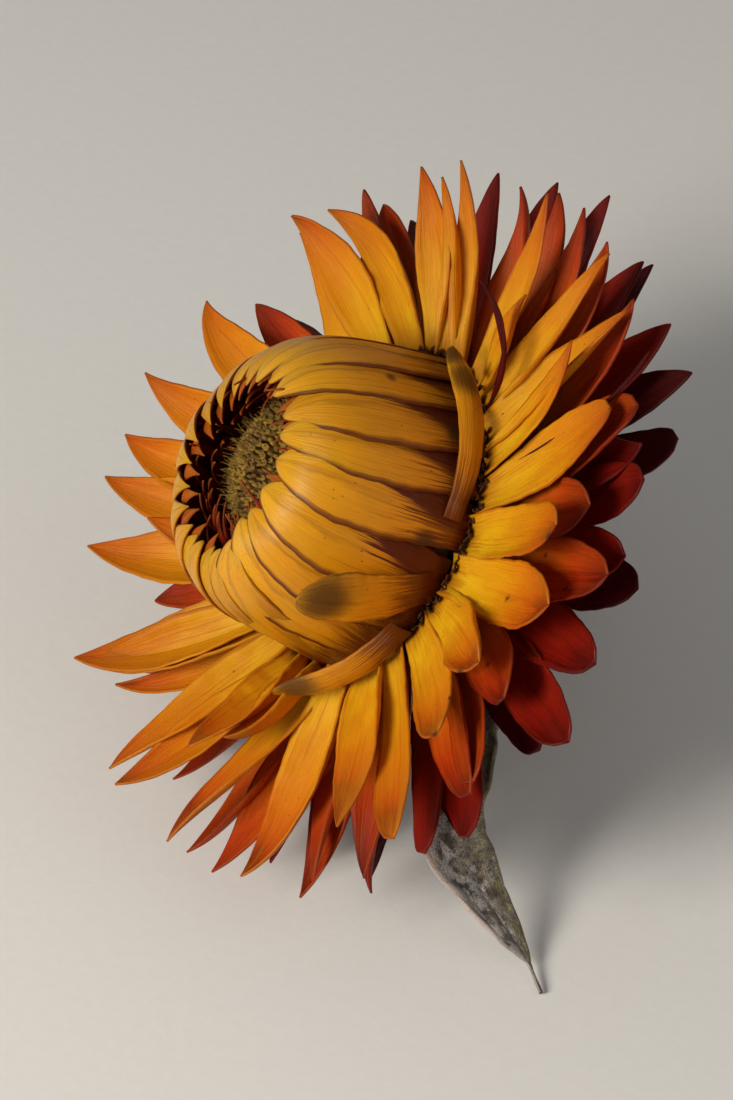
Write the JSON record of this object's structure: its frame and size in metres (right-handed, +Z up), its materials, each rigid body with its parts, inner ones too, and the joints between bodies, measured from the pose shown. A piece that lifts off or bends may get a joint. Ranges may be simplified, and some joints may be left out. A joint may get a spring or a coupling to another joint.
{
  "type": "dried strawflower",
  "caption": "Picked dried strawflower lying on its side: a half-open golden dome of papery bracts in a wheel of orange, red and maroon ones, with a curved cut stem and one leaf.",
  "frame": {"origin": "on the surface, under the middle of the bounding box", "axes": "+Z up from the surface that it lies on, the flower faces -X and up, the stem trails towards +Y"},
  "size_m": [0.0496, 0.0666, 0.0511],
  "materials": {
    "stem": "dry, finely ribbed and dull",
    "leaf": "dry, mottled grey-green and dull",
    "maroon_bract": "papery satin",
    "red_bract": "papery satin",
    "orange_bract": "papery satin",
    "gold_bract": "papery satin with fine streaks",
    "dome_bract": "papery satin with fine streaks",
    "inner_bract": "papery satin",
    "florets": "dull and bristly"
  },
  "bodies": {
    "root": {"stem": "stem", "leaf": "leaf", "maroon_bracts": "maroon_bract", "red_bracts": "red_bract", "orange_bracts": "orange_bract", "gold_bracts": "gold_bract", "dome_bracts": "dome_bract", "inner_bracts": "inner_bract", "disc_florets": "florets"}
  },
  "joints": []
}
